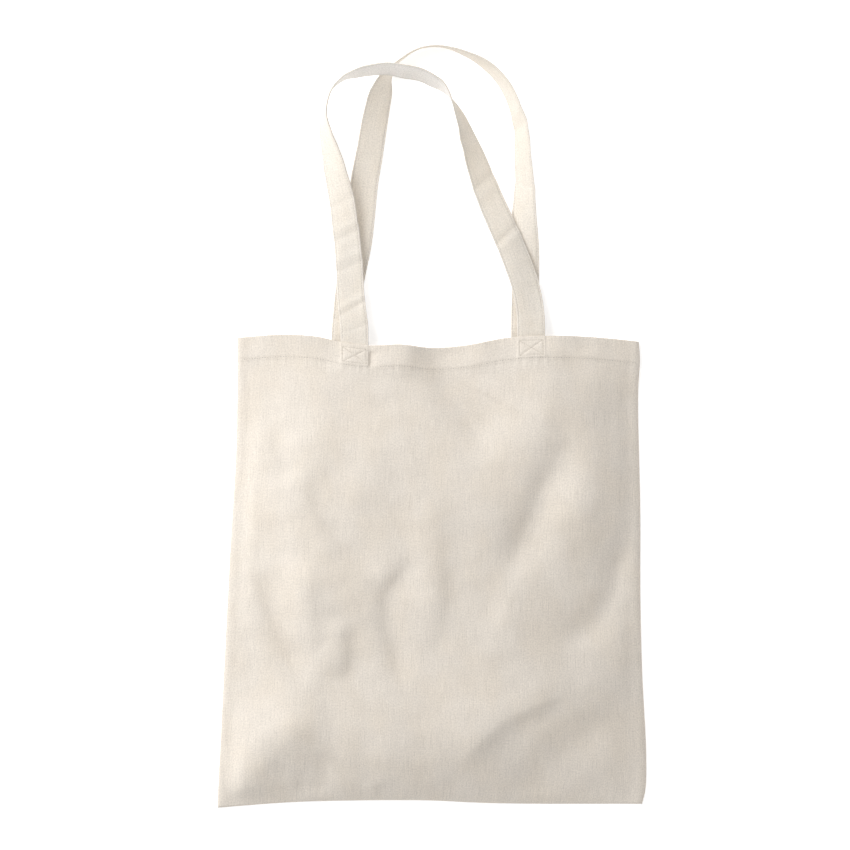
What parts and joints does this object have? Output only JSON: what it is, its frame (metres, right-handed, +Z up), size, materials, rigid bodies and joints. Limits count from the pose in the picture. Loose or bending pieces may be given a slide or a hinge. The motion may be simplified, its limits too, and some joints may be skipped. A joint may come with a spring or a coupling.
{
  "type": "canvas tote bag",
  "caption": "Flat unlined cotton canvas shopper with a hemmed open mouth and slack strap handles sewn inside the hems.",
  "frame": {"origin": "middle of the whole footprint, bag and handles, on the surface that the bag lies on", "axes": "+Z up out of the front panel, +Y from the bottom seam to the handles, +X to the right as seen from above"},
  "size_m": [0.3849, 0.6828, 0.049],
  "materials": {
    "canvas": "undyed plain-weave cotton, matt, with slubs",
    "strapping": "folded and pressed plain-weave cotton strap, matt",
    "cotton_thread": "matt sewing thread"
  },
  "bodies": {
    "bag_back": {"back_panel": "canvas", "back_hem": "canvas", "side_seam_left": "canvas", "side_seam_right": "canvas", "bottom_seam": "canvas", "back_hem_stitch": "cotton_thread", "back_handle_end_left": "strapping", "back_handle_end_right": "strapping", "back_cross_stitch_left": "cotton_thread", "back_cross_stitch_right": "cotton_thread"},
    "bag_front": {"front_panel": "canvas", "front_hem": "canvas", "front_hem_stitch": "cotton_thread", "front_handle_end_left": "strapping", "front_handle_end_right": "strapping", "front_cross_stitch_left": "cotton_thread", "front_cross_stitch_right": "cotton_thread"},
    "front_strap": {"front_handle": "strapping", "front_handle_inner_stitch": "cotton_thread", "front_handle_outer_stitch": "cotton_thread"},
    "back_strap": {"back_handle": "strapping", "back_handle_inner_stitch": "cotton_thread", "back_handle_outer_stitch": "cotton_thread"}
  },
  "joints": [
    {"name": "mouth_open", "type": "hinge", "parent": "bag_back", "child": "bag_front", "pos_m": [0, -0.3415, 0.003], "axis": [1, 0, 0], "range_deg": [0, 6]},
    {"name": "front_handle_fold", "type": "hinge", "parent": "bag_front", "child": "front_strap", "pos_m": [0, 0.0825, 0.0205], "axis": [1, 0, 0], "range_deg": [0, 165]},
    {"name": "back_handle_fold", "type": "hinge", "parent": "bag_back", "child": "back_strap", "pos_m": [0, 0.0825, -0.0005], "axis": [1, 0, 0], "range_deg": [-165, 0]}
  ]
}
